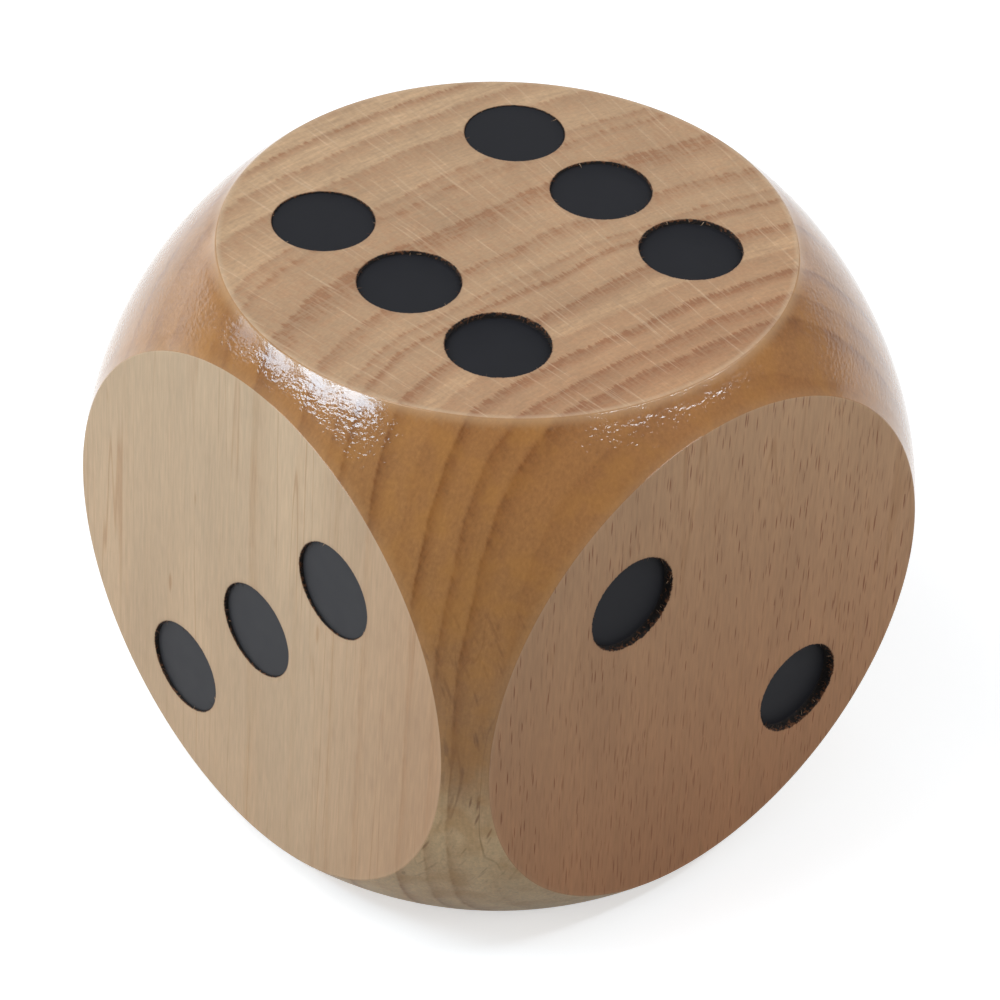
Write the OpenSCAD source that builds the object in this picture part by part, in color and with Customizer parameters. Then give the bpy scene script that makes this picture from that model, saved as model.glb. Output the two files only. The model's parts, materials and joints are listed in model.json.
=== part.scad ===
// Wooden die with stamped pips, standing on its one with the six upwards.
//
// A cube of beech is turned down to a ball until only a round flat is left on each face. Each
// flat is then stamped once with a hot tool, which presses its pips below the wood and leaves a
// thin black film on their floors. A tool never lands quite square on the wood, so a stamping
// has its own shift, turn, lean and depth.
//
// The origin is the centre of the cube and the grain runs along Z. Opposite faces add up to
// seven: the six is at +Z, the two at +X and the three at -Y.

/* [Block] */
// Distance between opposite flats
edge = 50; // [46:0.5:80]
// Diameter of the round flat left on each face
flat_d = 44.9; // [40:0.1:64]

/* [Pips] */
// Diameter of a pip
pip_d = 8; // [4:0.1:9.6]
// Wood between the rim of a flat and its corner pips, on the two, the four and the five
pip_margin = 5; // [2:0.1:8]
// Wood between the rim of a flat and its corner pips, on the three
three_margin = 4.6; // [2:0.1:8]
// Wood between the rim of a flat and its corner pips, on the six
six_margin = 4.2; // [2:0.1:6]
// Angle of the six's corner pips, up from the line across its flat
six_corner_angle = 43.7; // [40:0.1:50]
// Thickness of the black film on the floor of a pip
film_t = 0.05; // [0.02:0.01:0.15]
// Gap between the edge of the film and the wall of its pip
film_edge_gap = 0.05; // [0.02:0.01:0.3]

/* [Stamping of the six, on top] */
// Shift off the centre of the flat, across and up
six_shift = [-0.6, 0.4]; // [-1.5:0.1:1.5]
// Turn about the line out of the flat, in degrees
six_turn = 0.3; // [-5:0.1:5]
// Lean about the lines across and up the flat, in degrees
six_lean = [0.2, 0.9]; // [-2:0.1:2]
// Depth at the centre of the stamping
six_depth = 0.38; // [0.35:0.01:1.5]

/* [Stamping of the three, in front] */
// Shift off the centre of the flat, across and up
three_shift = [0.2, -1]; // [-1.5:0.1:1.5]
// Turn about the line out of the flat, in degrees
three_turn = 2.2; // [-5:0.1:5]
// Lean about the lines across and up the flat, in degrees
three_lean = [-1, -1.1]; // [-2:0.1:2]
// Depth at the centre of the stamping
three_depth = 0.28; // [0.25:0.01:1.5]

/* [Stamping of the two, on the right] */
// Shift off the centre of the flat, across and up
two_shift = [0.9, -0.1]; // [-1.5:0.1:1.5]
// Turn about the line out of the flat, in degrees
two_turn = 0.4; // [-5:0.1:5]
// Lean about the lines across and up the flat, in degrees
two_lean = [-0.3, 0.9]; // [-2:0.1:2]
// Depth at the centre of the stamping
two_depth = 0.85; // [0.6:0.01:1.5]

/* [Stamping of the one, the four and the five] */
// Depth of these square stampings
square_depth = 0.45; // [0.1:0.01:1.5]

/* [Hidden] */
$fn = 96;

beech = "#c8a680";
black_film = "#29282b";

// The ball meets the faces of the cube at the rims of the flats
ball_d = sqrt(edge ^ 2 + flat_d ^ 2);
// Height of the pips on a tool, more than it ever presses them in
tool_pip_h = 5;

// Centres of the pips on each face, across and up its flat
pip_circle_r = flat_d / 2 - pip_d / 2 - pip_margin;
three_circle_r = flat_d / 2 - pip_d / 2 - three_margin;
six_circle_r = flat_d / 2 - pip_d / 2 - six_margin;
centre = [0, 0];
corners = [for (angle = [45 : 90 : 315]) polar(pip_circle_r, angle)];
two_spots = [corners[1], corners[3]];
three_spots = [polar(three_circle_r, 45), centre, polar(three_circle_r, 225)];
five_spots = concat(corners, [centre]);
six_corner = polar(six_circle_r, six_corner_angle);
six_spots = [for (column = [-1 : 1], row = [-1, 1]) [column * six_corner.x, row * six_corner.y]];

function polar(r, angle) = [r * cos(angle), r * sin(angle)];

// How far the lean of a tool lifts the highest point of one of its pips
function lift(spot, lean) =
    spot.y * sin(lean.x) - spot.x * sin(lean.y) + pip_d / 2 * sin(norm(lean));

// Depth at the centre of a stamping, deep enough to keep all its films below the wood
function sunk(spots, depth, lean) = max(depth, film_t + max([for (spot = spots) lift(spot, lean)]));

// Puts its children at the centre of a flat, with Z out of the wood
module on_flat(turns) {
    rotate(turns) translate([0, 0, edge / 2]) children();
}

// Puts its children at each pip of a tool, on the plane that the tool presses the wood down to
module stamped(spots, depth, shift = [0, 0], turn = 0, lean = [0, 0]) {
    translate([shift.x, shift.y, -sunk(spots, depth, lean)])
        rotate([lean.x, lean.y, turn])
            for (spot = spots) translate(spot) children();
}

module at_one() {
    on_flat([0, 180, 0]) stamped([centre], square_depth) children();
}

module at_two() {
    on_flat([90, 0, 90]) stamped(two_spots, two_depth, two_shift, two_turn, two_lean) children();
}

module at_three() {
    on_flat([90, 0, 0])
        stamped(three_spots, three_depth, three_shift, three_turn, three_lean) children();
}

module at_four() {
    on_flat([90, 0, 180]) stamped(corners, square_depth) children();
}

module at_five() {
    on_flat([90, 0, 270]) stamped(five_spots, square_depth) children();
}

module at_six() {
    on_flat([0, 0, 0]) stamped(six_spots, six_depth, six_shift, six_turn, six_lean) children();
}

// One pip of a tool, which reaches from the floor that it presses to clear of the wood
module tool_pip() {
    cylinder(d = pip_d, h = tool_pip_h);
}

// The film that the tool leaves on the floor of a pip
module film() {
    color(black_film) cylinder(d = pip_d - 2 * film_edge_gap, h = film_t);
}

module body() {
    color(beech) difference() {
        intersection() {
            cube(edge, center = true);
            sphere(d = ball_d);
        }
        at_one() tool_pip();
        at_two() tool_pip();
        at_three() tool_pip();
        at_four() tool_pip();
        at_five() tool_pip();
        at_six() tool_pip();
    }
}

module pip_one() {
    at_one() film();
}

module pips_two() {
    at_two() film();
}

module pips_three() {
    at_three() film();
}

module pips_four() {
    at_four() film();
}

module pips_five() {
    at_five() film();
}

module pips_six() {
    at_six() film();
}

body();
pip_one();
pips_two();
pips_three();
pips_four();
pips_five();
pips_six();
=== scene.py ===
"""Looks of the wooden die: a ball-turned cube of beech with hot-stamped black pips.

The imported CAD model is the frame. The six black films stay as its own nodes and only get a
finish. The wood is rebuilt as one closed skin on the CAD's measures, because the CAD solid has
knife-sharp rims and clean-cut recesses, where turned and stamped wood has softened rims and torn,
scorched pip walls. Burr fibres hang in the mouths of the recesses. Lengths in this script are in
millimetres until a mesh is finished.
"""

import json
import math

import bpy
import numpy as np
from mathutils import Matrix, Vector, noise
from mathutils.geometry import delaunay_2d_cdt

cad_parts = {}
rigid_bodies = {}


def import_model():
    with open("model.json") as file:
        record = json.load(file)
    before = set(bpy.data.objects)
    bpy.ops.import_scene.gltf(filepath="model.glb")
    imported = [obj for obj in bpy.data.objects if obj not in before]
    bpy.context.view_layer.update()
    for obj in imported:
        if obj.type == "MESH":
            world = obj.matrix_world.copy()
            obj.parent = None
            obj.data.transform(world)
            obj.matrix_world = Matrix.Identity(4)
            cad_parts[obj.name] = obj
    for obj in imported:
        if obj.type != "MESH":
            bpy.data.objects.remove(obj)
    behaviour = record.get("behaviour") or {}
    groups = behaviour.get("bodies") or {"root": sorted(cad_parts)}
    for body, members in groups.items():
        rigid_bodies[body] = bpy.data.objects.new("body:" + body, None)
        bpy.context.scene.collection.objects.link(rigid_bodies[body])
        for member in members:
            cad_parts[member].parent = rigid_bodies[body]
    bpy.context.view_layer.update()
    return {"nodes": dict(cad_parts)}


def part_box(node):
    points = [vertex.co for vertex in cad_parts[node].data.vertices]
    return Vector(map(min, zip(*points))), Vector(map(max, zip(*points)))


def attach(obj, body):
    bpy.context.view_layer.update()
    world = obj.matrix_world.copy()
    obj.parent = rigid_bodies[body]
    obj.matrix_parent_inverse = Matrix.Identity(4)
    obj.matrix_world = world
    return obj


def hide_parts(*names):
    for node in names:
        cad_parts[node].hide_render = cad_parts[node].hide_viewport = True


for default in list(bpy.data.objects):
    bpy.data.objects.remove(default)

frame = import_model()

MM = 0.001

# ---------------------------------------------------------------- measures taken from the frame

# Direction out of each face, by the node of its films
FACES = {
    "pip_one": (0, 0, -1),
    "pips_two": (1, 0, 0),
    "pips_three": (0, -1, 0),
    "pips_four": (0, 1, 0),
    "pips_five": (-1, 0, 0),
    "pips_six": (0, 0, 1),
}
# Bare floor that the CAD leaves round each film in its recess
FILM_EDGE_GAP = 0.05

body_points = np.array([v.co for v in frame["nodes"]["body"].data.vertices]) / MM
HALF_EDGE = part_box("body")[1].x / MM
BALL_R = np.linalg.norm(body_points, axis=1).max()
FLAT_R = math.sqrt(BALL_R**2 - HALF_EDGE**2)


def across(axis):
    """Two directions across axis that make a right-handed set with it."""
    seed = Vector((0, 0, 1)) if abs(axis[2]) < 0.7 else Vector((0, -1, 0))
    u = seed.cross(Vector(axis)).normalized()
    return np.array(u), np.cross(axis, u)


def islands(mesh):
    """The separate discs of a film node, each as an array of its points in millimetres."""
    points = np.array([v.co for v in mesh.vertices]) / MM
    group = np.arange(len(points))
    _, same = np.unique(points.round(4), axis=0, return_inverse=True)
    links = [tuple(e.vertices) for e in mesh.edges]
    firsts = {}
    for i, key in enumerate(np.ravel(same)):
        links.append((i, firsts.setdefault(key, i)))
    changed = True
    while changed:
        changed = False
        for a, b in links:
            low = min(group[a], group[b])
            if group[a] != low or group[b] != low:
                group[a] = group[b] = low
                changed = True
    return [points[group == g] for g in np.unique(group)]


def disc_of(points, outward):
    """Middle, axis, radius and thickness of a thin disc, with its axis turned outward."""
    middle = (points.max(0) + points.min(0)) / 2
    _, _, directions = np.linalg.svd(points - points.mean(0))
    axis = directions[2] * np.sign(directions[2] @ outward)
    heights = (points - middle) @ axis
    flat = points - middle - np.outer(heights, axis)
    return middle, axis, np.linalg.norm(flat, axis=1).max(), np.ptp(heights)


# ---------------------------------------------------------------- the skin of the wood

RIM_POINTS = 576
RIM_STEPS = 4
# Rounding of a rim, and how much it is paled: partly its colour rubbed off, partly a painted highlight
# along the rim. The rim of the six is worn and paled most
CRISP_RIM, WORN_SHEENED_RIM = (0.2, 0.3), (0.4, 1.0)
# The wear and its painted highlight reach this far over the ball
WEAR_AND_SHEEN_REACH = 0.7
# The sanding rubs the varnish off this many of those steps, and the paling, partly a painted highlight,
# reaches this far into the flat
RUBBED_STEPS = 2
RUBBED_BORDER = 0.3
# The varnish is thicker in a bead round each rim, this wide
BEAD = 1.6
BALL_SPACING = 0.5
FLAT_SPACING = 1.2
MOUTH_POINTS = 288
# How far the wall of a recess is torn back from the tool's clean circle, if it is this deep or
# deeper. A shallower one tears less, and so does the side away from the one that the tool
# scraped as it lifted, down to a least share
TEAR, TEAR_DEPTH = 0.3, 0.8
SCRAPED_SIDE, LEAST_TORN = (-0.58, 0.52, -0.63), 0.35
# Chips round a mouth, teeth to a chip, how far both drift up the wall, and the share of the chips
CHIPS, TEETH, DRIFT, CHIP_SHARE = 6, 4.3, 3, 0.45
# Rings of the lip: gap from the torn edge, drop below the flat, and scorch
LIP = ((0.5, 0.0, 0.0), (0.12, 0.0, 0.05), (0.03, 0.01, 0.5), (0.0, 0.04, 0.75))
# Rings of the wall: share of the tear, share of the way up from the floor, and scorch
WALL = ((0.7, 0.78, 0.8), (0.5, 0.45, 0.9), (0.2, 0.2, 1.0), (0.0, 0.0, 1.0))

# Material slots of the skin
VARNISHED, SANDED, SCORCHED = 0, 1, 2


class Skin:
    """Points, faces and normals of the wood, gathered piece by piece."""

    def __init__(self):
        self.points, self.faces, self.normals, self.finishes = [], [], [], []
        self.walls = []
        # How scorched the wood is, how near a rim of a flat, and how worn and paled by a painted highlight
        self.shares = {"char": [], "rim": [], "wear": []}

    def add_points(self, points, **shares):
        """Adds points with their shares, 0 for those not given, and returns their numbers."""
        first = len(self.points)
        self.points.extend(np.asarray(points, float))
        for name, values in self.shares.items():
            values.extend(np.broadcast_to(shares.get(name, 0.0), len(points)))
        return np.arange(first, first + len(points))

    def add_face(self, corners, finish, normals=None):
        """Adds a face. Corners without normals take them from the mesh."""
        self.faces.append([int(c) for c in corners])
        self.finishes.append(finish)
        self.normals.append([(0, 0, 0)] * len(corners) if normals is None else normals)

    def add_band(self, outer, inner, finish, normals=None):
        """Joins two closed rings of points. normals holds those of outer and of inner."""
        n = len(outer)
        for i in range(n):
            j = (i + 1) % n
            corners = [outer[i], outer[j], inner[j], inner[i]]
            given = None
            if normals is not None:
                given = [normals[0][i], normals[0][j], normals[1][j], normals[1][i]]
            self.add_face(corners, finish, given)


def ring(count, middle, u, v, radius):
    """Points of a circle, counter-clockwise seen from u x v. radius may change round it."""
    angles = np.arange(count) * math.tau / count
    spokes = np.outer(np.cos(angles), u) + np.outer(np.sin(angles), v)
    return np.asarray(middle) + spokes * np.reshape(radius, (-1, 1)), spokes


def triangulate(spread, loop_lengths):
    """Delaunay triangles inside the first loop and outside the others.

    spread holds points of a plane: those of each loop in turn, counter-clockwise for the inner
    loops, then the loose ones.
    """
    edges, owners, first = [], np.full(len(spread), -1), 0
    for number, length in enumerate(loop_lengths):
        owners[first : first + length] = number
        edges += [(first + i, first + (i + 1) % length) for i in range(length)]
        first += length
    inside_constraints = 1
    found = delaunay_2d_cdt([Vector(p) for p in spread], edges, [], inside_constraints, 1e-7)
    if len(found[0]) != len(spread):
        raise ValueError("the outline of the wood crosses itself")
    kept = []
    for a, b, c in found[2]:
        # A triangle on one inner loop fills that loop if its corners follow the loop round
        follows = (a < b) + (b < c) + (c < a) == 2
        if follows and owners[a] > 0 and owners[a] == owners[b] == owners[c]:
            continue
        kept.append([a, b, c])
    return kept


def hex_spots(reach, spacing):
    """Points of a triangular grid within reach of the origin."""
    n = int(reach / spacing) + 2
    grid = [
        ((i + 0.5 * (j % 2)) * spacing, j * spacing * math.sqrt(3) / 2)
        for i in range(-n, n + 1)
        for j in range(-n, n + 1)
    ]
    return [p for p in grid if math.hypot(*p) < reach]


def rim_rounding(skin, axis, u, v, rounding, wear):
    """Rounded rim between a flat and the ball. Returns its rings on the flat and on the ball.

    The ring on the flat lies inside the border that the sanding has paled, partly with a painted
    highlight.
    """
    core_r = BALL_R - rounding
    core_h = HALF_EDGE - rounding
    core_rim = math.sqrt(core_r**2 - core_h**2)
    last = math.atan2(core_rim, core_h)
    rings = []
    for step in range(RIM_STEPS + 1):
        turn = last * step / RIM_STEPS
        radius = core_rim + rounding * math.sin(turn)
        height = core_h + rounding * math.cos(turn)
        points, spokes = ring(RIM_POINTS, height * axis, u, v, radius)
        normals = spokes * math.sin(turn) + axis * math.cos(turn)
        rings.append((skin.add_points(points, rim=1.0, wear=wear), normals))
    for step, ((outer, outer_n), (inner, inner_n)) in enumerate(zip(rings[1:], rings)):
        finish = SANDED if step < RUBBED_STEPS else VARNISHED
        skin.add_band(outer, inner, finish, (outer_n, inner_n))
    points, _ = ring(RIM_POINTS, HALF_EDGE * axis, u, v, core_rim - RUBBED_BORDER)
    border = skin.add_points(points)
    skin.add_band(rings[0][0], border, SANDED, [[axis] * RIM_POINTS] * 2)
    return border, rings[-1][0]


def crumble(spoke, height, seed):
    """How far the torn wall of a recess stands back from a clean cut, from 0 to 1.

    Broad chips with fine teeth between torn fibres. height, from 0 to 1, lets the wall change on
    its way up, and seed moves each recess to a place of its own in the noise.
    """
    place = Vector(spoke) * CHIPS + Vector((seed * 7.1, seed * 3.3, height * DRIFT))
    chips = noise.noise(place) * 0.5 + 0.5
    teeth = 1 - abs(noise.noise(place * TEETH)) * 2
    return CHIP_SHARE * chips**2 + (1 - CHIP_SHARE) * max(teeth, 0) ** 3


def recess(skin, disc, axis, seed):
    """A stamped recess with a torn wall. Returns its outermost ring, which lies on the flat."""
    middle, lean, film_r, film_t = disc
    u, v = across(lean)
    radius = film_r + FILM_EDGE_GAP
    floor = middle - lean * film_t / 2
    _, spokes = ring(MOUTH_POINTS, floor, u, v, radius)
    # Height of the flat above the floor, along the lean of the tool
    rise = (HALF_EDGE - (floor + radius * spokes) @ axis) / (lean @ axis)
    scraped = LEAST_TORN + (1 - LEAST_TORN) * np.maximum(spokes @ np.array(SCRAPED_SIDE), 0)
    tear = TEAR * scraped * np.minimum(rise / TEAR_DEPTH, 1)

    def on_wall(stand_back, height, char):
        """A ring of the wall. stand_back and height are shares of the tear and of the way up."""
        torn = np.array([crumble(s, height, seed) for s in spokes])
        radii = radius + torn * tear * stand_back
        points = floor + spokes * radii[:, None] + lean * (rise * height)[:, None]
        above = points @ axis - HALF_EDGE
        points -= np.outer(np.maximum(above, 0), axis)
        return skin.add_points(points, char=char)

    def on_flat(gap, drop, char):
        """A ring round the mouth, gap outside its torn edge and drop below the flat."""
        torn = np.array([crumble(s, 1, seed) for s in spokes])
        points = floor + spokes * (radius + gap + torn * tear)[:, None]
        lift = (HALF_EDGE - drop - points @ axis) / (lean @ axis)
        return skin.add_points(points + lift[:, None] * lean, char=char)

    lip = [on_flat(*step) for step in LIP]
    wall = [on_wall(*step) for step in WALL]
    for rings, finish in ((lip[:-1], SANDED), ([*lip[-2:], *wall], SCORCHED)):
        for outer, inner in zip(rings, rings[1:]):
            skin.add_band(outer, inner, finish)
    skin.walls.append((lip[-1], wall[1]))
    bottom = wall[-1]
    centre = skin.add_points([floor], char=1.0)[0]
    for i in range(MOUTH_POINTS):
        corners = [bottom[i], bottom[(i + 1) % MOUTH_POINTS], centre]
        skin.add_face(corners, SCORCHED, [lean] * 3)
    return lip[0]


def flat(skin, axis, u, v, rim, borders):
    """The sanded flat between its rim and the borders of its recesses."""
    points = np.array(skin.points)
    holes = [points[border] for border in borders]
    middles = [hole.mean(0) for hole in holes]
    reaches = [np.linalg.norm(h - m, axis=1).max() + FLAT_SPACING / 3 for h, m in zip(holes, middles)]
    spots = []
    for a, b in hex_spots(FLAT_R - RUBBED_BORDER - FLAT_SPACING / 2, FLAT_SPACING):
        spot = a * u + b * v + HALF_EDGE * axis
        if all(np.linalg.norm(spot - m) > reach for m, reach in zip(middles, reaches)):
            spots.append(spot)
    used = np.concatenate([rim, *borders, skin.add_points(spots)])
    on_flat = np.array(skin.points)[used]
    spread = np.stack([on_flat @ u, on_flat @ v], axis=1)
    for tri in triangulate(spread, [len(rim), *map(len, borders)]):
        skin.add_face(used[tri], SANDED, [axis] * 3)


def ball(skin, rims, wears):
    """The turned ball between the six flats, triangulated through a stereographic map."""
    count = int(4 * math.pi * BALL_R**2 / (BALL_SPACING**2 * math.sqrt(3) / 2))
    k = np.arange(count) + 0.5
    z = 1 - 2 * k / count
    angle = k * math.pi * (3 - math.sqrt(5))
    around = np.sqrt(1 - z**2)
    spots = BALL_R * np.stack([around * np.cos(angle), around * np.sin(angle), z], axis=1)
    heights = spots @ np.array(list(FACES.values())).T
    rim_height = min(np.abs(np.array(skin.points)[rim]).max(1).min() for rim in rims)
    # Nothing stands closer under a rim than nearly half a space, in height
    kept = heights.max(1) < rim_height - BALL_SPACING * 0.45
    spots, heights = spots[kept], heights[kept]
    # Way over the ball to the nearest rim
    way = (rim_height - heights.max(1)) * BALL_R / FLAT_R
    wear = np.array(wears)[heights.argmax(1)] * np.clip(1 - way / WEAR_AND_SHEEN_REACH, 0, 1)
    spots = skin.add_points(spots, rim=np.clip(1 - way / BEAD, 0, 1), wear=wear)
    used = np.concatenate([*rims, spots])
    on_ball = np.array(skin.points)[used]
    # Seen from the middle of the lowest flat, so that its rim, the first, is the outer loop
    spread = on_ball[:, :2] / (BALL_R + on_ball[:, 2:])
    for tri in triangulate(spread, [RIM_POINTS] * len(rims)):
        skin.add_face(used[tri], VARNISHED, on_ball[tri] / BALL_R)


def wood_mesh(skin):
    """The closed skin of the die as a mesh in metres."""
    rims, wears = [], []
    for number, (node, outward) in enumerate(FACES.items()):
        axis = np.array(outward, float)
        u, v = across(axis)
        rounding, wear = WORN_SHEENED_RIM if node == "pips_six" else CRISP_RIM
        flat_rim, ball_rim = rim_rounding(skin, axis, u, v, rounding, wear)
        discs = [disc_of(p, axis) for p in islands(frame["nodes"][node].data)]
        borders = [recess(skin, d, axis, 10 * number + i) for i, d in enumerate(discs)]
        flat(skin, axis, u, v, flat_rim, borders)
        rims.append(ball_rim)
        wears.append(wear)
    ball(skin, rims, wears)
    mesh = bpy.data.meshes.new("turned_wood")
    mesh.from_pydata(np.array(skin.points) * MM, [], skin.faces)
    mesh.polygons.foreach_set("material_index", skin.finishes)
    mesh.shade_smooth()
    for name, values in skin.shares.items():
        shares = mesh.attributes.new(name, "FLOAT", "POINT")
        shares.data.foreach_set("value", np.array(values, np.float32))
    mesh.normals_split_custom_set([n for face in skin.normals for n in face])
    mesh.update()
    return mesh


skin = Skin()
wood = bpy.data.objects.new("turned_wood", wood_mesh(skin))
bpy.context.scene.collection.objects.link(wood)

# ---------------------------------------------------------------- nodes


def linear(hex_colour):
    """The linear RGBA of an sRGB hex colour."""
    parts = [int(hex_colour[i : i + 2], 16) / 255 for i in (1, 3, 5)]
    return [p / 12.92 if p <= 0.04045 else ((p + 0.055) / 1.055) ** 2.4 for p in parts] + [1.0]


def feed(tree, node, inputs):
    """Sets inputs of a node, each to a value or a hex colour, or to a socket to link from."""
    for key, value in inputs.items():
        if isinstance(value, bpy.types.NodeSocket):
            tree.links.new(value, node.inputs[key])
        elif isinstance(value, str) and value.startswith("#"):
            node.inputs[key].default_value = linear(value)
        else:
            node.inputs[key].default_value = value


def add(tree, kind, inputs=None, **settings):
    """Adds a node with its settings, and feeds its inputs."""
    made = tree.nodes.new(kind)
    for name, value in settings.items():
        setattr(made, name, value)
    feed(tree, made, inputs or {})
    return made


# Sockets of a Mix node for colours: the share of the upper one, both colours, and the result
SHARE, LOWER, UPPER, MIXED = 0, 6, 7, 2


def new_material(name):
    """An empty material. Returns it, its tree and its shader."""
    made = bpy.data.materials.new(name)
    made.use_nodes = True
    return made, made.node_tree, made.node_tree.nodes["Principled BSDF"]


# ---------------------------------------------------------------- the figure of the wood

# Place of the tree's heart in the plane of the six, which sets how the rings curve
HEART = (115, -6)
GRAIN_LEAN = math.radians(2.5)
# Below this y the rings bend away faster, by this much for each square millimetre
BEND_START, BEND = -12, 0.018
# Slow wander of the rings, their short waves, and the notches that rays cut in them
WANDER, WAVER, NOTCH = 1.8, 0.8, 0.9
# Growth rings: place of the dark edge across the six, strength, width of its fade, and how dark
# the wood stays from there to the next ring
RINGS = [
    (-28.0, 0.7, 1.4, 0.0),
    (-25.6, 0.5, 1.2, 0.0),
    (-22.8, 0.5, 1.2, 0.0),
    (-20.2, 0.8, 1.2, 0.0),
    (-17.6, 0.6, 2.1, 0.0),
    (-14.6, 0.55, 3.4, 0.15),
    (-10.0, 0.6, 0.9, 0.4),
    (-8.5, 0.7, 1.0, 0.38),
    (-4.5, 0.95, 3.2, 0.35),
    (0.9, 0.8, 2.0, 0.28),
    (4.2, 0.7, 0.7, 0.4),
    (5.6, 1.0, 0.9, 0.3),
    (8.8, 1.0, 2.0, 0.0),
    (11.9, 0.4, 1.6, 0.22),
    (14.1, 1.1, 1.4, 0.2),
    (17.0, 0.9, 1.7, 0.2),
    (19.1, 0.95, 2.1, 0.05),
    (22.6, 0.5, 1.6, 0.1),
    (25.4, 0.4, 1.8, 0.1),
]
RING_EDGE = 0.15
# A colour ramp holds 32 stops, so it takes this many rings
RAMP_RINGS = 10
# Rays: size of the cell that holds one, and half of its length, thickness and height
RAYS = [((7.5, 1.1, 2.6), (3.6, 0.12, 1.1)), ((5, 0.65, 2.1), (2.3, 0.09, 0.8))]
# Flecks: dark marks across the rays, rare
FLECKS = ((2.6, 2.6, 4.6), (0.21, 0.21, 1.15))
# Noises in the wood: size of a patch into the rings, round them and up the grain, and detail
NOISES = {
    "wander": ((16, 15, 60), 4.0),
    "notches": ((1.5, 0.25, 1.5), 2.0),
    "waver": ((5, 5, 9), 2.0),
    "threads": ((0.3, 2.0, 11), 2.0),
    "veins": ((2.2, 4.0, 80), 1.0),
    "fibre": ((0.2, 0.35, 2.5), 4.0),
    "cloud": ((7, 7, 25), 3.0),
}


def lenses(tree, place, cell, half):
    """One long lens in each cell, where its noise puts it. Returns its shape and its chance."""
    scaled = add(
        tree,
        "ShaderNodeVectorMath",
        {0: place, 1: tuple(1 / c for c in cell)},
        operation="MULTIPLY",
    )
    seeds = add(tree, "ShaderNodeTexVoronoi", {"Vector": scaled.outputs[0], "Scale": 1.0})
    off = add(
        tree,
        "ShaderNodeVectorMath",
        {0: scaled.outputs[0], 1: seeds.outputs["Position"]},
        operation="SUBTRACT",
    )
    lens = add(
        tree,
        "ShaderNodeVectorMath",
        {0: off.outputs[0], 1: tuple(c / h for c, h in zip(cell, half))},
        operation="MULTIPLY",
    )
    reach = add(tree, "ShaderNodeVectorMath", {0: lens.outputs[0]}, operation="LENGTH")
    inside = add(
        tree,
        "ShaderNodeMapRange",
        {"Value": reach.outputs["Value"], "From Min": 1.2, "From Max": 0.4},
        interpolation_type="SMOOTHSTEP",
    )
    chance = add(tree, "ShaderNodeSeparateColor", {0: seeds.outputs["Color"]})
    return inside.outputs[0], chance.outputs[0]


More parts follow.
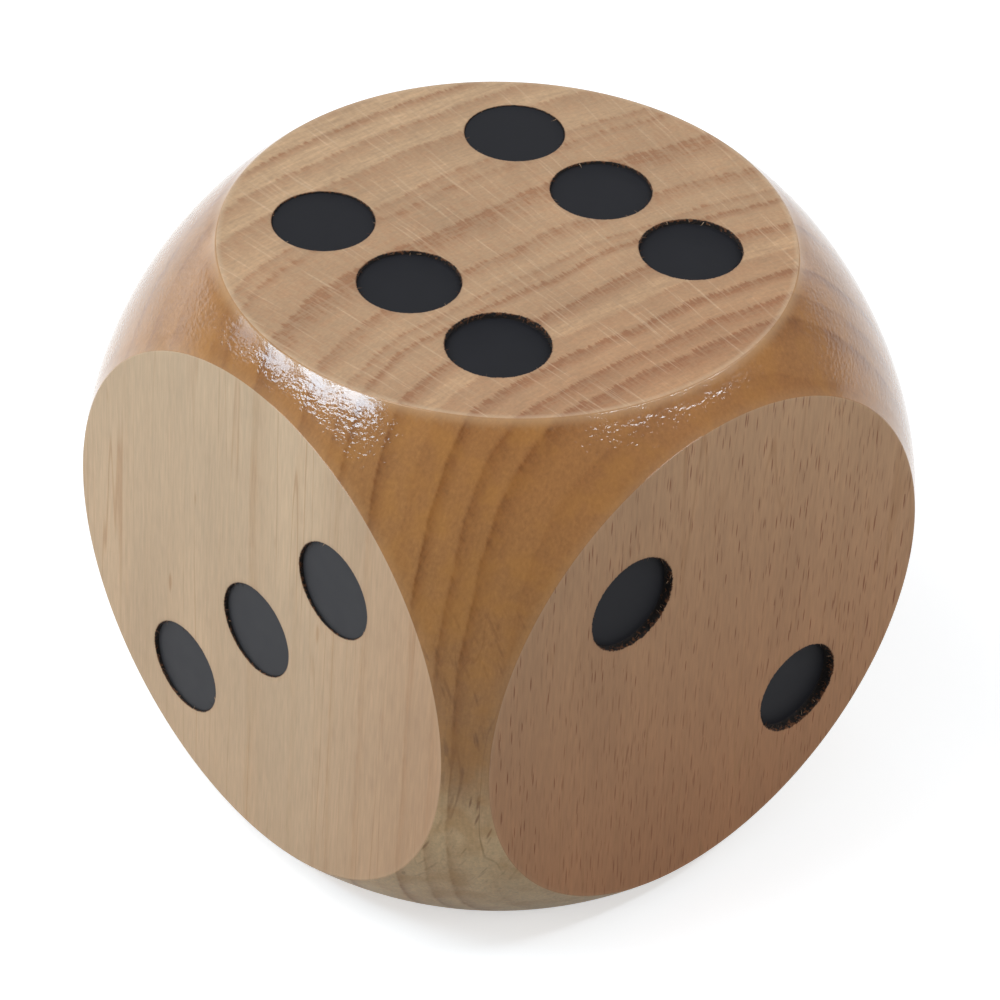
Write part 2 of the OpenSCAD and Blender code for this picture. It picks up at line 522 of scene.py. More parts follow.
def figure_group():
    """The figure of one block of beech, the same all through it, as a shader node group.

    Growth rings, rays and fibres are worked out in millimetres round the heart of the tree,
    which lies far out beyond the face of the two. So each face shows its own cut through them:
    rings and radial rays on end grain, dashes where rays are cut across, streaks along the grain.
    """
    tree = bpy.data.node_groups.new("beech_figure", "ShaderNodeTree")
    coordinates = add(tree, "ShaderNodeTexCoord")

    # How squarely the surface cuts the grain, and how squarely it cuts the rays
    facing = add(tree, "ShaderNodeSeparateXYZ", {0: coordinates.outputs["Normal"]})
    end = add(tree, "ShaderNodeMath", {0: facing.outputs[2]}, operation="ABSOLUTE")
    ray_face = add(tree, "ShaderNodeMath", {0: facing.outputs[0]}, operation="ABSOLUTE")
    # Rays and vessels break up the rings only where the grain is cut squarely
    square = add(
        tree, "ShaderNodeMapRange", {"Value": end.outputs[0], "From Min": 0.72, "From Max": 0.95}
    ).outputs[0]

    # Millimetres from the heart, with the grain leaning a little off upright
    from_heart = add(
        tree,
        "ShaderNodeMapping",
        {
            "Vector": coordinates.outputs["Object"],
            "Scale": (1 / MM, 1 / MM, 1 / MM),
            "Rotation": (0, -GRAIN_LEAN, 0),
            "Location": (HALF_EDGE * math.sin(GRAIN_LEAN) - HEART[0], -HEART[1], 0),
        },
    )
    place = add(tree, "ShaderNodeSeparateXYZ", {0: from_heart.outputs[0]})
    level = add(tree, "ShaderNodeCombineXYZ", {0: place.outputs[0], 1: place.outputs[1]})
    radius = add(tree, "ShaderNodeVectorMath", {0: level.outputs[0]}, operation="LENGTH")
    depth = add(
        tree, "ShaderNodeMath", {0: HEART[0], 1: radius.outputs["Value"]}, operation="SUBTRACT"
    )
    inward = add(tree, "ShaderNodeMath", {0: place.outputs[0], 1: -1.0}, operation="MULTIPLY")
    angle = add(
        tree, "ShaderNodeMath", {0: place.outputs[1], 1: inward.outputs[0]}, operation="ARCTAN2"
    )
    around = add(tree, "ShaderNodeMath", {0: angle.outputs[0], 1: HEART[0]}, operation="MULTIPLY")
    # Depth into the rings, way round them and height up the grain
    block = add(
        tree,
        "ShaderNodeCombineXYZ",
        {0: depth.outputs[0], 1: around.outputs[0], 2: place.outputs[2]},
    ).outputs[0]

    # The rings wander slowly, bend away near the front edge and are notched by the rays
    noises = {}
    for name, (patch, detail) in NOISES.items():
        scaled = add(
            tree,
            "ShaderNodeVectorMath",
            {0: block, 1: tuple(1 / size for size in patch)},
            operation="MULTIPLY",
        )
        noises[name] = add(
            tree,
            "ShaderNodeTexNoise",
            {"Vector": scaled.outputs[0], "Scale": 1.0, "Detail": detail},
        ).outputs["Fac"]
    # Away from end grain, notches and threads keep only this share of their swing
    for name, least in (("notches", 0.25), ("threads", 0.2)):
        reach = add(tree, "ShaderNodeMapRange", {"Value": square, "To Min": least})
        swing = add(tree, "ShaderNodeMath", {0: noises[name], 1: 0.5}, operation="SUBTRACT")
        noises[name] = add(
            tree,
            "ShaderNodeMath",
            {0: swing.outputs[0], 1: reach.outputs[0], 2: 0.5},
            operation="MULTIPLY_ADD",
        ).outputs[0]
    past_bend = add(
        tree, "ShaderNodeMath", {0: BEND_START - HEART[1], 1: place.outputs[1]}, operation="SUBTRACT"
    )
    past_bend = add(tree, "ShaderNodeMath", {0: past_bend.outputs[0], 1: 0.0}, operation="MAXIMUM")
    bend = add(tree, "ShaderNodeMath", {0: past_bend.outputs[0], 1: 2.0}, operation="POWER")
    shift = depth.outputs[0]
    for amount, share in (
        (bend.outputs[0], -BEND),
        (noises["wander"], WANDER),
        (noises["waver"], WAVER),
        (noises["notches"], NOTCH),
    ):
        shift = add(
            tree, "ShaderNodeMath", {0: amount, 1: share, 2: shift}, operation="MULTIPLY_ADD"
        ).outputs[0]
    ring_depth = add(
        tree, "ShaderNodeMath", {0: shift, 1: (WANDER + WAVER + NOTCH) / 2}, operation="SUBTRACT"
    ).outputs[0]

    latewood, rest_before = None, 0.0
    for first in range(0, len(RINGS), RAMP_RINGS):
        rings = RINGS[first : first + RAMP_RINGS]
        low, high = rings[0][0] - 1, rings[-1][0] + rings[-1][2] + 1
        share = add(
            tree, "ShaderNodeMapRange", {"Value": ring_depth, "From Min": low, "From Max": high}
        )
        ramp = add(tree, "ShaderNodeValToRGB", {"Fac": share.outputs[0]})
        elements = ramp.color_ramp.elements
        elements.remove(elements[1])
        elements[0].position, elements[0].color = 0.0, (rest_before, rest_before, rest_before, 1)
        for edge, strength, fade, rest in rings:
            for position, value in (
                (edge - RING_EDGE, rest_before),
                (edge + RING_EDGE, strength),
                (edge + fade, rest),
            ):
                element = elements.new((position - low) / (high - low))
                element.color = (value, value, value, 1)
            rest_before = rest
        if latewood is None:
            latewood = ramp.outputs["Color"]
        else:
            past = add(tree, "ShaderNodeMath", {0: ring_depth, 1: low}, operation="GREATER_THAN")
            latewood = add(
                tree,
                "ShaderNodeMix",
                {SHARE: past.outputs[0], LOWER: latewood, UPPER: ramp.outputs["Color"]},
                data_type="RGBA",
            ).outputs[MIXED]
    # Fine rays and rows of vessels hatch the dark wood both ways
    for name, least, most in (("notches", 0.55, 1.3), ("threads", 0.7, 1.3)):
        hatched = add(
            tree,
            "ShaderNodeMapRange",
            {"Value": noises[name], "From Min": 0.35, "From Max": 0.65, "To Min": least, "To Max": most},
        )
        latewood = add(
            tree, "ShaderNodeMath", {0: latewood, 1: hatched.outputs[0]}, operation="MULTIPLY"
        ).outputs[0]

    # Veins: thin dark lines up the grain, that come and go
    off = add(tree, "ShaderNodeMath", {0: noises["veins"], 1: 0.5}, operation="SUBTRACT")
    off = add(tree, "ShaderNodeMath", {0: off.outputs[0]}, operation="ABSOLUTE")
    vein = add(
        tree, "ShaderNodeMapRange", {"Value": off.outputs[0], "From Min": 0.013, "From Max": 0.003}
    )
    come = add(
        tree, "ShaderNodeMapRange", {"Value": noises["cloud"], "From Min": 0.42, "From Max": 0.6}
    )
    vein = add(tree, "ShaderNodeMath", {0: vein.outputs[0], 1: come.outputs[0]}, operation="MULTIPLY")

    # Rays: thin upright lenses that run from the heart outwards, most of them faint
    aside = add(tree, "ShaderNodeMath", {0: noises["waver"], 1: 0.5}, operation="MULTIPLY")
    aside = add(tree, "ShaderNodeCombineXYZ", {1: aside.outputs[0]})
    wavy = add(tree, "ShaderNodeVectorMath", {0: block, 1: aside.outputs[0]}, operation="ADD")
    ray = 0.0
    for cell, half in RAYS:
        inside, chance = lenses(tree, wavy.outputs[0], cell, half)
        strength = add(tree, "ShaderNodeMath", {0: chance, 1: 1.2}, operation="POWER")
        shown = add(
            tree, "ShaderNodeMath", {0: inside, 1: strength.outputs[0]}, operation="MULTIPLY"
        )
        ray = add(
            tree, "ShaderNodeMath", {0: shown.outputs[0], 1: ray}, operation="MAXIMUM"
        ).outputs[0]
    inside, chance = lenses(tree, block, *FLECKS)
    rare = add(tree, "ShaderNodeMapRange", {"Value": chance, "From Min": 0.4, "From Max": 0.8})
    fleck = add(tree, "ShaderNodeMath", {0: inside, 1: rare.outputs[0]}, operation="MULTIPLY")

    traits = {
        "Latewood": latewood,
        "Ray": ray,
        "Fleck": fleck.outputs[0],
        "Hatch": noises["notches"],
        "Thread": noises["threads"],
        "Vein": vein.outputs[0],
        "Fibre": noises["fibre"],
        "Cloud": noises["cloud"],
        "Depth": depth.outputs[0],
        "Height": place.outputs[2],
        "End grain": end.outputs[0],
        "Ray face": ray_face.outputs[0],
    }
    for name in traits:
        tree.interface.new_socket(name, in_out="OUTPUT", socket_type="NodeSocketFloat")
    add(tree, "NodeGroupOutput", traits)
    return tree


figure = figure_group()


def shaded(tree, colour, shade):
    """A colour made darker or lighter by a shade, 1 for no change."""
    grey = add(tree, "ShaderNodeCombineColor", {0: shade, 1: shade, 2: shade})
    return add(
        tree,
        "ShaderNodeMix",
        {SHARE: 1.0, LOWER: colour, UPPER: grey.outputs[0]},
        data_type="RGBA",
        blend_type="MULTIPLY",
    ).outputs[MIXED]


def stained(tree, wood_figure, tones):
    """Colour of beech cut at any angle. tones holds its hex colours and shares by name."""
    out = wood_figure.outputs
    end_grain = out["End grain"]
    late_share = add(
        tree,
        "ShaderNodeMapRange",
        {"Value": end_grain, "To Min": tones["long_ring_share"], "To Max": tones["ring_share"]},
    )
    # On long grain only the hard edges of the rings show, as thin lines
    sharp = add(tree, "ShaderNodeMapRange", {"Value": end_grain, "To Min": 3.0, "To Max": 1.0})
    late = add(
        tree, "ShaderNodeMath", {0: out["Latewood"], 1: sharp.outputs[0]}, operation="POWER"
    )
    late = add(
        tree,
        "ShaderNodeMath",
        {0: late.outputs[0], 1: late_share.outputs[0]},
        operation="MULTIPLY",
        use_clamp=True,
    )
    light, dark = (
        add(
            tree,
            "ShaderNodeMix",
            {SHARE: end_grain, LOWER: tones["long_" + tone], UPPER: tones["end_" + tone]},
            data_type="RGBA",
        ).outputs[MIXED]
        for tone in ("light", "dark")
    )
    colour = add(
        tree, "ShaderNodeMix", {SHARE: late.outputs[0], LOWER: light, UPPER: dark}, data_type="RGBA"
    ).outputs[MIXED]
    # The wood reddens towards the heart. Towards the foot, most where it is cut across the rays, it is
    # reddened and darkened: partly its own colour, partly painted shade that grows darker towards the
    # bottom.
    heartwards = add(
        tree,
        "ShaderNodeMapRange",
        {"Value": out["Depth"], "From Min": 5.0, "From Max": 25.0, "To Max": tones["heart_red"]},
    )
    # Painted shade: darker and redder towards the foot
    footwards_shade = add(
        tree,
        "ShaderNodeMapRange",
        {"Value": out["Height"], "From Min": 20.0, "From Max": -25.0, "To Max": tones["foot_red_and_shade"]},
    )
    across_rays = add(tree, "ShaderNodeMapRange", {"Value": out["Ray face"], "To Min": 0.3})
    # Rays, flecks and veins are dark away from end grain, and rays are pale lines on it
    side = add(
        tree,
        "ShaderNodeMapRange",
        {"Value": end_grain, "From Min": 0.6, "From Max": 0.15},
        interpolation_type="SMOOTHSTEP",
    )
    dash_share = add(
        tree,
        "ShaderNodeMapRange",
        {"Value": out["Ray face"], "To Min": tones["fleck_share"], "To Max": tones["dash_share"]},
    )
    squarely = add(tree, "ShaderNodeMath", {0: end_grain, 1: 4.0}, operation="POWER")
    # Each tint goes over those before it, by the product of its shares
    for tone, way, (share, *others) in (
        ("red", "MULTIPLY", [heartwards.outputs[0]]),
        ("red", "MULTIPLY", [footwards_shade.outputs[0], across_rays.outputs[0]]),
        ("dash", "MIX", [dash_share.outputs[0], side.outputs[0], out["Ray"]]),
        ("vein", "MIX", [out["Fleck"], side.outputs[0], tones["mark_share"]]),
        ("vein", "MIX", [out["Vein"], side.outputs[0], tones["vein_share"]]),
        ("line", "MIX", [squarely.outputs[0], out["Ray"], tones["line_share"]]),
    ):
        for other in others:
            share = add(
                tree, "ShaderNodeMath", {0: share, 1: other}, operation="MULTIPLY"
            ).outputs[0]
        colour = add(
            tree,
            "ShaderNodeMix",
            {SHARE: share, LOWER: colour, UPPER: tones[tone]},
            data_type="RGBA",
            blend_type=way,
        ).outputs[MIXED]
    for name in ("Fibre", "Cloud", "Hatch", "Thread"):
        swing = tones[name]
        shade = add(
            tree,
            "ShaderNodeMapRange",
            {
                "Value": out[name],
                "From Min": 0.25,
                "From Max": 0.75,
                "To Min": 1 - swing,
                "To Max": 1 + swing,
            },
        ).outputs[0]
        colour = shaded(tree, colour, shade)
    return colour


# ---------------------------------------------------------------- finishes

# Height of the raised grain and of the ripples in the varnish
RELIEF = 0.03
# Width of the mottle, the stains and the ripples on the ball, of the crumbs on the walls of the
# recesses, and of the clouds in the foil
MOTTLE, STAIN, RIPPLE, CRUMB, FOIL_CLOUD = 0.3, 2.5, 0.45, 0.3, 1.5
# How far up the edge of the dry foot sways
DRY_SWAY = 14.0

SANDED_TONES = {
    "end_light": "#c29e7a",
    "end_dark": "#9e7150",
    "long_light": "#c8ad8d",
    "long_dark": "#bb9a76",
    "ring_share": 1.0,
    "long_ring_share": 0.6,
    "dash": "#7a4020",
    "dash_share": 0.85,
    "fleck_share": 0.06,
    "mark_share": 0.7,
    "vein": "#a2764e",
    "vein_share": 0.45,
    "line": "#d3b291",
    "line_share": 0.5,
    "red": "#e8c8b0",
    "heart_red": 0.7,
    # Share of the reddening towards the foot, which is partly painted shade
    "foot_red_and_shade": 0.9,
    "Fibre": 0.09,
    "Cloud": 0.09,
    "Hatch": 0.06,
    "Thread": 0.12,
}
VARNISHED_TONES = {
    "end_light": "#a06a36",
    "end_dark": "#7d4719",
    "long_light": "#a57a49",
    "long_dark": "#85592a",
    "ring_share": 0.9,
    "long_ring_share": 1.2,
    "dash": "#55321a",
    "dash_share": 0.6,
    "fleck_share": 0.3,
    "mark_share": 1.0,
    "vein": "#6f4520",
    "vein_share": 0.4,
    "line": "#b98552",
    "line_share": 0.2,
    "red": "#e8c8b0",
    "heart_red": 0.3,
    "foot_red_and_shade": 0.0,
    "Fibre": 0.12,
    "Cloud": 0.06,
    "Hatch": 0.05,
    "Thread": 0.08,
}

# Towards the foot there is hardly any varnish, and the bare wood shows. Its paler colour is partly painted
# light, standing in for light thrown up from the floor.
BARE_AND_FLOOR_LIT_TONES = {
    **SANDED_TONES,
    "end_light": "#e9ca9f",
    "long_light": "#eed0a4",
    "long_dark": "#c99d6e",
    "fleck_share": 0.3,
    "mark_share": 1.0,
    "vein": "#7d5433",
    "foot_red_and_shade": 0.0,
    "heart_red": 0.0,
}


def tinted(tree, colour, tints):
    """A colour with tints over it. Each is an attribute, its full share and a hex colour."""
    for name, full, tint in tints:
        spread = add(tree, "ShaderNodeAttribute", attribute_name=name)
        share = add(
            tree, "ShaderNodeMath", {0: spread.outputs["Fac"], 1: full}, operation="MULTIPLY"
        )
        colour = add(
            tree,
            "ShaderNodeMix",
            {SHARE: share.outputs[0], LOWER: colour, UPPER: tint},
            data_type="RGBA",
        ).outputs[MIXED]
    return colour


def sanded_beech():
    """Beech sanded fine and left matt on the flats: pale, soft and open-grained to the eye."""
    made, tree, shader = new_material("sanded_beech")
    wood_figure = add(tree, "ShaderNodeGroup", node_tree=figure)
    colour = stained(tree, wood_figure, SANDED_TONES)
    # Rims paler where worn and partly by a painted highlight, and lips scorched
    colour = tinted(tree, colour, [("wear", 0.3, "#d9bd9d"), ("char", 1.0, "#4a2c1b")])
    relief = add(
        tree,
        "ShaderNodeBump",
        {"Height": wood_figure.outputs["Fibre"], "Strength": 0.5, "Distance": RELIEF * MM},
    )
    feed(tree, shader, {"Base Color": colour, "Roughness": 0.6, "Normal": relief.outputs[0]})
    return made


def varnished_beech():
    """Beech of the turned ball under clear varnish: amber, darkest on end grain, and glossy.

    The varnish stands in small ripples over the raised grain, and in a rough bead along the rims.
    Towards the foot there is hardly any of it, so the wood is dull there, and paler: partly bare wood,
    partly painted light from the floor.
    """
    made, tree, shader = new_material("varnished_beech")
    wood_figure = add(tree, "ShaderNodeGroup", node_tree=figure)
    coordinates = add(tree, "ShaderNodeTexCoord").outputs["Object"]
    # The edge of the dry foot sways with the cloud of the wood
    sway = add(
        tree,
        "ShaderNodeMath",
        {0: wood_figure.outputs["Cloud"], 1: DRY_SWAY, 2: wood_figure.outputs["Height"]},
        operation="MULTIPLY_ADD",
    )
    dry = add(
        tree,
        "ShaderNodeMapRange",
        {"Value": sway.outputs[0], "From Min": 11.0, "From Max": 1.0},
        interpolation_type="SMOOTHSTEP",
    ).outputs[0]
    # The paler bare colour towards the foot is partly painted light from the floor
    dry_and_floor_light_share = add(tree, "ShaderNodeMath", {0: dry, 1: 0.9}, operation="MULTIPLY")
    colour = add(
        tree,
        "ShaderNodeMix",
        {
            SHARE: dry_and_floor_light_share.outputs[0],
            LOWER: stained(tree, wood_figure, VARNISHED_TONES),
            UPPER: stained(tree, wood_figure, BARE_AND_FLOOR_LIT_TONES),
        },
        data_type="RGBA",
    ).outputs[MIXED]
    thin = add(tree, "ShaderNodeMapRange", {"Value": dry, "To Min": 1.0, "To Max": 0.05})
    mottle = add(
        tree,
        "ShaderNodeTexNoise",
        {"Vector": coordinates, "Scale": 1 / (MOTTLE * MM), "Detail": 3.0, "Roughness": 0.7},
    )
    shade = add(
        tree,
        "ShaderNodeMapRange",
        {"Value": mottle.outputs["Fac"], "From Min": 0.3, "From Max": 0.7, "To Min": 0.9, "To Max": 1.1},
    )
    colour = shaded(tree, colour, shade.outputs[0])
    stain = add(
        tree,
        "ShaderNodeTexNoise",
        {"Vector": coordinates, "Scale": 1 / (STAIN * MM), "Detail": 2.0},
    )
    stain_share = add(
        tree,
        "ShaderNodeMapRange",
        {"Value": stain.outputs["Fac"], "From Min": 0.45, "From Max": 0.65, "To Max": 0.3},
    )
    colour = add(
        tree,
        "ShaderNodeMix",
        {SHARE: stain_share.outputs[0], LOWER: colour, UPPER: "#b37a35"},
        data_type="RGBA",
    ).outputs[MIXED]
    # Paler near the rims where worn, and partly by a painted highlight
    colour = tinted(tree, colour, [("wear", 0.45, "#cba57c")])
    # The ripples lie level, and the bead at the rim is smoother
    flattened = add(tree, "ShaderNodeMapping", {"Vector": coordinates, "Scale": (1, 1, 1.8)})
    ripple = add(
        tree,
        "ShaderNodeTexNoise",
        {"Vector": flattened.outputs[0], "Scale": 1 / (RIPPLE * MM), "Detail": 1.5},
    )
    rim = add(tree, "ShaderNodeAttribute", attribute_name="rim")
    bead = add(
        tree,
        "ShaderNodeMapRange",
        {"Value": rim.outputs["Fac"], "From Min": 0.1, "From Max": 0.5, "To Min": 1.4, "To Max": 0.35},
    )
    height = add(
        tree, "ShaderNodeMath", {0: ripple.outputs["Fac"], 1: bead.outputs[0]}, operation="MULTIPLY"
    )
    relief = add(
        tree,
        "ShaderNodeBump",
        {"Height": height.outputs[0], "Strength": 1.0, "Distance": RELIEF * MM},
    )
    looks = {
        "Base Color": colour,
        "Roughness": 0.45,
        "Specular IOR Level": 0.1,
        "Coat Weight": thin.outputs[0],
        "Coat Roughness": 0.1,
        "Coat IOR": 1.5,
        "Coat Normal": relief.outputs[0],
    }
    feed(tree, shader, looks)
    return made


def scorched_beech():
    """Wall of a stamped recess: torn end fibres, brown at the lip and burnt black at the foot."""
    made, tree, shader = new_material("scorched_beech")
    coordinates = add(tree, "ShaderNodeTexCoord").outputs["Object"]
    crumbs = add(
        tree,
        "ShaderNodeTexNoise",
        {"Vector": coordinates, "Scale": 1 / (CRUMB * MM), "Detail": 4.0},
    )
    char = add(tree, "ShaderNodeAttribute", attribute_name="char")
    # The more scorched the wood is, the fewer of its crumbs stay brown
    limit = add(
        tree,
        "ShaderNodeMapRange",
        {"Value": char.outputs["Fac"], "From Min": 0.7, "From Max": 1.0, "To Min": 0.42, "To Max": 0.62},
    )
    above = add(
        tree, "ShaderNodeMath", {0: crumbs.outputs["Fac"], 1: limit.outputs[0]}, operation="SUBTRACT"
    )
    share = add(tree, "ShaderNodeMapRange", {"Value": above.outputs[0], "From Max": 0.12})
    colour = add(
        tree,
        "ShaderNodeMix",
        {SHARE: share.outputs[0], LOWER: "#17100c", UPPER: "#6b4226"},
        data_type="RGBA",
    )
    feed(tree, shader, {"Base Color": colour.outputs[MIXED], "Roughness": 0.85})
    return made


def stamping_foil():
    """Black hot-stamping foil pressed flat: satin, near black, with a soft even sheen."""
    made, tree, shader = new_material("stamping_foil")
    coordinates = add(tree, "ShaderNodeTexCoord").outputs["Object"]
    cloud = add(
        tree,
        "ShaderNodeTexNoise",
        {"Vector": coordinates, "Scale": 1 / (FOIL_CLOUD * MM), "Detail": 3.0},
    ).outputs["Fac"]
    colour = add(
        tree, "ShaderNodeMix", {SHARE: cloud, LOWER: "#1d1d21", UPPER: "#232327"}, data_type="RGBA"
    )
    rough = add(tree, "ShaderNodeMapRange", {"Value": cloud, "To Min": 0.48, "To Max": 0.6})
    looks = {
        "Base Color": colour.outputs[MIXED],
        "Roughness": rough.outputs[0],
        "Specular IOR Level": 0.25,
    }
    feed(tree, shader, looks)
    return made


def burr():
    """Torn fibres in the mouths: each one burnt black, brown, or still the colour of the wood."""
    made, tree, shader = new_material("burr")
    tone = add(tree, "ShaderNodeAttribute", attribute_name="tone").outputs["Fac"]
    colour = "#1a110c"
    for least, most, lighter in ((0.3, 0.8, "#5c3820"), (0.85, 1.0, "#c9a685")):
        share = add(
            tree, "ShaderNodeMapRange", {"Value": tone, "From Min": least, "From Max": most}
        )
        colour = add(
            tree,
            "ShaderNodeMix",
            {SHARE: share.outputs[0], LOWER: colour, UPPER: lighter},
            data_type="RGBA",
        ).outputs[MIXED]
    feed(tree, shader, {"Base Color": colour, "Roughness": 0.8})
    return made


# ---------------------------------------------------------------- burr fibres

# For each square millimetre of wall, and the longest and thickest fibre
BURR_DENSITY, BURR_LENGTH, BURR_RADIUS = 14, 0.55, 0.035
# Share of the longest that the shortest has
BURR_SHORTEST = 0.3
BURR_SEED, SIZE_SEED, TONE_SEED = 3, 7, 11


def burr_tree(finish):
    """Geometry Nodes that scatter tapered fibres on the walls, none past the faces of the die."""
    tree = bpy.data.node_groups.new("burr_fibres", "GeometryNodeTree")
    tree.interface.new_socket("Walls", in_out="INPUT", socket_type="NodeSocketGeometry")
    for name in ("Density", "Length", "Radius", "Half edge"):
        tree.interface.new_socket(name, in_out="INPUT", socket_type="NodeSocketFloat")
    tree.interface.new_socket("Seed", in_out="INPUT", socket_type="NodeSocketInt")
    tree.interface.new_socket("Fibres", in_out="OUTPUT", socket_type="NodeSocketGeometry")
    given = add(tree, "NodeGroupInput").outputs
    roots = add(
        tree,
        "GeometryNodeDistributePointsOnFaces",
        {"Mesh": given["Walls"], "Density": given["Density"], "Seed": given["Seed"]},
    )
    fibre = add(
        tree,
        "GeometryNodeMeshCone",
        {"Vertices": 4, "Radius Top": 0.0, "Radius Bottom": given["Radius"], "Depth": given["Length"]},
        fill_type="NGON",
    )
    # Fibres stand out of the wall, each its own way
    stray = add(
        tree,
        "FunctionNodeRandomValue",
        {"Min": (-1, -1, -1), "Max": (1, 1, 1), "Seed": given["Seed"]},
        data_type="FLOAT_VECTOR",
    )
    outward = add(
        tree, "ShaderNodeVectorMath", {0: roots.outputs["Normal"], 1: stray.outputs[0]}, operation="ADD"
    )
    turn = add(tree, "FunctionNodeAlignRotationToVector", {"Vector": outward.outputs[0]}, axis="Z")
    size, tone = (
        add(tree, "FunctionNodeRandomValue", {2: least, 3: 1.0, "Seed": seed}, data_type="FLOAT")
        for least, seed in ((BURR_SHORTEST, SIZE_SEED), (0.0, TONE_SEED))
    )
    placed = add(
        tree,
        "GeometryNodeInstanceOnPoints",
        {
            "Points": roots.outputs["Points"],
            "Instance": fibre.outputs["Mesh"],
            "Rotation": turn.outputs[0],
            "Scale": size.outputs[1],
        },
    )
    toned = add(
        tree,
        "GeometryNodeStoreNamedAttribute",
        {"Geometry": placed.outputs[0], "Name": "tone", "Value": tone.outputs[1]},
        data_type="FLOAT",
        domain="INSTANCE",
    )
    real = add(tree, "GeometryNodeRealizeInstances", {"Geometry": toned.outputs[0]})
    position = add(tree, "GeometryNodeInputPosition").outputs[0]
    # No point goes past the faces of the die
    half = given["Half edge"]
    limit = add(tree, "ShaderNodeCombineXYZ", {0: half, 1: half, 2: half}).outputs[0]
    opposite = add(tree, "ShaderNodeVectorMath", {0: limit, "Scale": -1.0}, operation="SCALE")
    kept = add(tree, "ShaderNodeVectorMath", {0: position, 1: limit}, operation="MINIMUM")
    kept = add(
        tree, "ShaderNodeVectorMath", {0: kept.outputs[0], 1: opposite.outputs[0]}, operation="MAXIMUM"
    )
    trimmed = add(
        tree, "GeometryNodeSetPosition", {"Geometry": real.outputs[0], "Position": kept.outputs[0]}
    )
    painted = add(
        tree, "GeometryNodeSetMaterial", {"Geometry": trimmed.outputs[0], "Material": finish}
    )
    add(tree, "NodeGroupOutput", {"Fibres": painted.outputs[0]})
    return tree


def burr_fibres(skin, finish):
    """The fibres as one plain mesh object."""
    points = np.array(skin.points) * MM
    faces = []
    for lip, foot in skin.walls:
        n = len(lip)
        faces += [(lip[i], lip[(i + 1) % n], foot[(i + 1) % n], foot[i]) for i in range(n)]
    used, corners = np.unique(faces, return_inverse=True)
    walls = bpy.data.meshes.new("walls")
    walls.from_pydata(points[used], [], corners.reshape(-1, 4).tolist())
    seat = bpy.data.objects.new("walls", walls)
    bpy.context.scene.collection.objects.link(seat)
    scatter = seat.modifiers.new("scatter", "NODES")
    scatter.node_group = burr_tree(finish)
    values = {
        "Density": BURR_DENSITY / MM**2,
        "Length": BURR_LENGTH * MM,
        "Radius": BURR_RADIUS * MM,
        "Half edge": HALF_EDGE * MM,
        "Seed": BURR_SEED,
    }
    for item in scatter.node_group.interface.items_tree:
        if item.name in values:
            scatter[item.identifier] = values[item.name]
    graph = bpy.context.evaluated_depsgraph_get()
    mesh = bpy.data.meshes.new_from_object(seat.evaluated_get(graph))
    bpy.data.objects.remove(seat)
    made = bpy.data.objects.new("burr_fibres", mesh)
    bpy.context.scene.collection.objects.link(made)
    return made


for finish in (varnished_beech(), sanded_beech(), scorched_beech()):
    wood.data.materials.append(finish)
foil = stamping_foil()
for node in FACES:
    frame["nodes"][node].data.materials.clear()
    frame["nodes"][node].data.materials.append(foil)
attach(wood, "root")
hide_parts("body")
fibres = burr_fibres(skin, burr())
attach(fibres, "root")

# ---------------------------------------------------------------- floor, light, camera

FLOOR_REACH = 3
# The varnish mirrors the floor as bright on this side of the die, and dimmer by a share before it
BRIGHT_WAY, DIM_SHARE = (-0.963, 0.268, 0), 0.4
# Light of the room and of the pale backdrop, and the way to the backdrop
ROOM_LIGHT, BACKDROP_LIGHT = 0.33, 1.8
BACKDROP_WAY = (-0.866, 0.5, 0)

floor_mesh = bpy.data.meshes.new("floor")
floor_corners = [
    (x * FLOOR_REACH, y * FLOOR_REACH, -HALF_EDGE * MM) for x, y in ((-1, -1), (1, -1), (1, 1), (-1, 1))
]
floor_mesh.from_pydata(floor_corners, [], [(0, 1, 2, 3)])
floor = bpy.data.objects.new("floor", floor_mesh)
bpy.context.scene.collection.objects.link(floor)


def pale_floor():
    """Plain matt floor. It shows white, with a faint shadow, and returns little light.

    Where the varnish mirrors it, it is bright behind the die and dim before it.
    """
    made, tree, shader = new_material("pale_floor")
    path = add(tree, "ShaderNodeLightPath").outputs
    coordinates = add(tree, "ShaderNodeTexCoord")
    side = add(
        tree,
        "ShaderNodeVectorMath",
        {0: coordinates.outputs["Object"], 1: BRIGHT_WAY},
        operation="DOT_PRODUCT",
    )
    bright = add(
        tree,
        "ShaderNodeMapRange",
        {"Value": side.outputs["Value"], "From Min": -0.04, "From Max": 0.01, "To Min": DIM_SHARE},
        interpolation_type="SMOOTHSTEP",
    ).outputs[0]
    mirrored = add(tree, "ShaderNodeMath", {0: bright, 1: 0.6}, operation="MULTIPLY").outputs[0]
    mirrored = add(tree, "ShaderNodeCombineColor", {0: mirrored, 1: mirrored, 2: mirrored})
    colour = "#e6e6e6"
    for ray, returned in (("Is Glossy Ray", mirrored.outputs[0]), ("Is Diffuse Ray", "#7c7c7c")):
        colour = add(
            tree,
            "ShaderNodeMix",
            {SHARE: path[ray], LOWER: colour, UPPER: returned},
            data_type="RGBA",
        ).outputs[MIXED]
    glow = add(tree, "ShaderNodeMath", {0: path["Is Glossy Ray"], 1: bright}, operation="MULTIPLY")
    glow = add(tree, "ShaderNodeMath", {0: glow.outputs[0], 1: 0.75}, operation="MULTIPLY")
    lift = add(
        tree,
        "ShaderNodeMath",
        {0: path["Is Camera Ray"], 1: 0.5, 2: glow.outputs[0]},
        operation="MULTIPLY_ADD",
    )
    looks = {
        "Base Color": colour,
        "Roughness": 1.0,
        "Specular IOR Level": 0.0,
        "Emission Color": "#ffffff",
        "Emission Strength": lift.outputs[0],
    }
    feed(tree, shader, looks)
    return made


floor_mesh.materials.append(pale_floor())


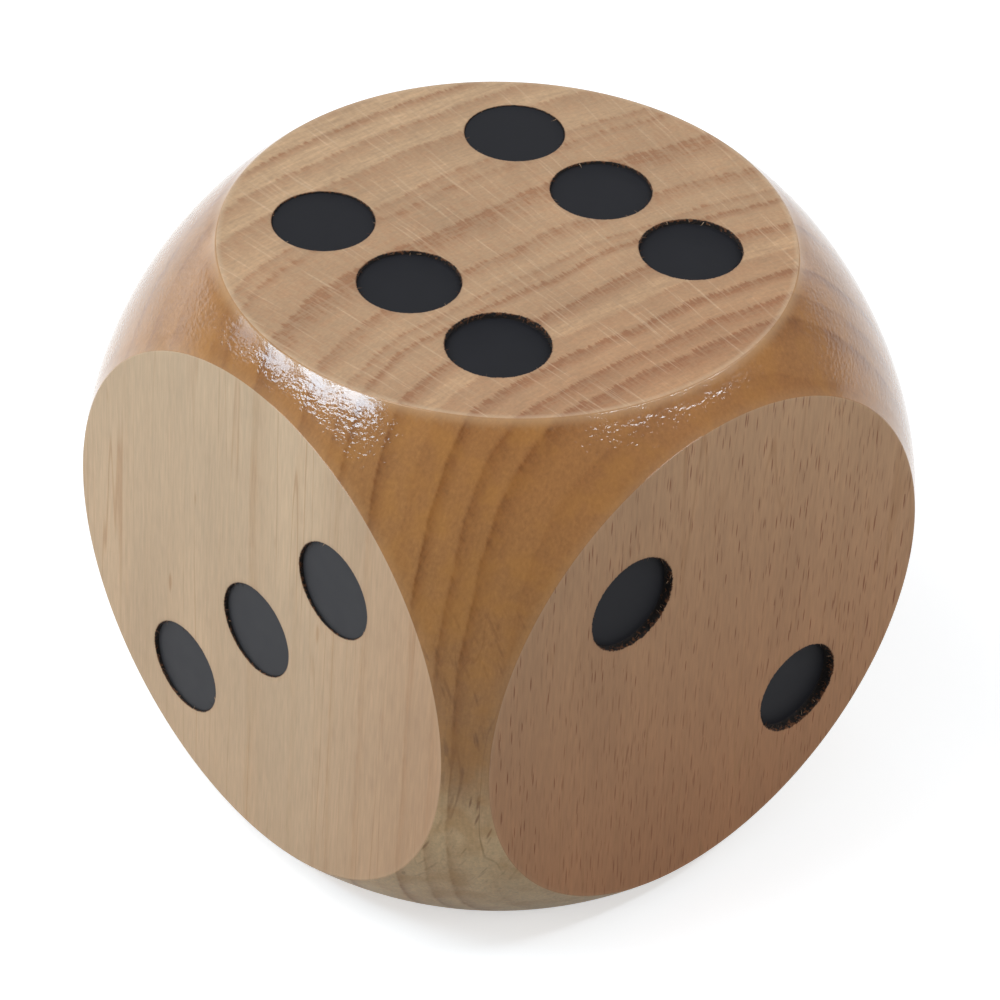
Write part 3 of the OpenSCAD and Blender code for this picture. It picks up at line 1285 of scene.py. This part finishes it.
def studio_world():
    """A dim studio with a pale backdrop low down behind the die, and white for the camera."""
    world = bpy.data.worlds.new("studio")
    world.use_nodes = True
    tree = world.node_tree
    way = add(tree, "ShaderNodeTexCoord").outputs["Generated"]
    facing = add(tree, "ShaderNodeVectorMath", {0: way, 1: BACKDROP_WAY}, operation="DOT_PRODUCT")
    height = add(tree, "ShaderNodeSeparateXYZ", {0: way})
    behind, low = (
        add(
            tree,
            "ShaderNodeMapRange",
            {"Value": value, "From Min": edge, "From Max": full},
            interpolation_type="SMOOTHSTEP",
        ).outputs[0]
        for value, edge, full in (
            (facing.outputs["Value"], 0.35, 0.75),
            (height.outputs[2], 0.3, 0.05),
        )
    )
    backdrop = add(tree, "ShaderNodeMath", {0: behind, 1: low}, operation="MULTIPLY")
    glow = add(
        tree,
        "ShaderNodeMapRange",
        {"Value": backdrop.outputs[0], "To Min": ROOM_LIGHT, "To Max": BACKDROP_LIGHT},
    )
    path = add(tree, "ShaderNodeLightPath")
    strength = add(
        tree, "ShaderNodeMath", {0: glow.outputs[0], 1: path.outputs["Is Camera Ray"]}, operation="MAXIMUM"
    )
    feed(tree, tree.nodes["Background"], {"Color": "#ffffff", "Strength": strength.outputs[0]})
    return world


def softbox(name, azimuth, elevation, distance, size, power, colour=(1, 1, 1)):
    """A soft light that faces the die. Azimuth is measured from +X towards +Y.

    distance and size, its width and height, are in metres, and power is in watts.
    """
    a, e = math.radians(azimuth), math.radians(elevation)
    way = Vector((math.cos(a) * math.cos(e), math.sin(a) * math.cos(e), math.sin(e)))
    lamp = bpy.data.lights.new(name, "AREA")
    lamp.shape = "RECTANGLE"
    lamp.size, lamp.size_y = size
    lamp.energy, lamp.color = power, colour
    made = bpy.data.objects.new(name, lamp)
    made.location = way * distance
    made.rotation_euler = way.to_track_quat("Z", "Y").to_euler()
    bpy.context.scene.collection.objects.link(made)


bpy.context.scene.world = studio_world()
softbox("key_softbox", -122, 60, 0.6, (0.3, 0.3), 0.95, (1, 0.985, 0.96))
# A row of windows that mirrors as a strip along the rim of the six: azimuth, elevation and power
WINDOWS = ((-149, 27, 0.09), (-136, 35, 0.33), (-120, 42, 0.45), (-104, 47, 0.4))
for number, (azimuth, elevation, power) in enumerate(WINDOWS):
    softbox(f"window_{number}", azimuth, elevation, 0.6, (0.14, 0.055), power, (0.66, 0.84, 1))
# A row of small ones behind the die, each at its azimuth and elevation
BACK_WINDOWS = ((8, 56), (23, 52), (37, 47), (49, 42))
for number, (azimuth, elevation) in enumerate(BACK_WINDOWS):
    softbox(f"back_window_{number}", azimuth, elevation, 0.3, (0.045, 0.014), 0.05, (0.8, 0.9, 1))
softbox("left_fill", -105, 12, 0.2, (0.1, 0.06), 0.1)
softbox("right_fill", 15, 22, 0.15, (0.04, 0.04), 0.034)
softbox("back_fill", 65, 45, 0.5, (0.2, 0.2), 0.12)

# The camera's place is given along its own axes, in metres, and its sensor and lens in millimetres
AZIMUTH, ELEVATION, ROLL = (math.radians(a) for a in (47.81, 38.74, 2.22))
DISTANCE, ASIDE, ABOVE = 0.3272, 0.00015, -0.000525
SENSOR, LENS = 36, 145.57
back = Vector(
    (
        math.sin(AZIMUTH) * math.cos(ELEVATION),
        -math.cos(AZIMUTH) * math.cos(ELEVATION),
        math.sin(ELEVATION),
    )
)
level = Vector((math.cos(AZIMUTH), math.sin(AZIMUTH), 0))
upright = back.cross(level)
right = level * math.cos(ROLL) + upright * math.sin(ROLL)
up = upright * math.cos(ROLL) - level * math.sin(ROLL)
camera = bpy.data.objects.new("camera", bpy.data.cameras.new("camera"))
bpy.context.scene.collection.objects.link(camera)
camera.data.sensor_width, camera.data.lens = SENSOR, LENS
camera_place = DISTANCE * back + ASIDE * right + ABOVE * up
camera.matrix_world = (
    Matrix.Translation(camera_place) @ Matrix((right, up, back)).transposed().to_4x4()
)
camera.data.clip_start, camera.data.clip_end = 0.01, 20
bpy.context.scene.camera = camera
bpy.context.scene.view_settings.view_transform = "Standard"
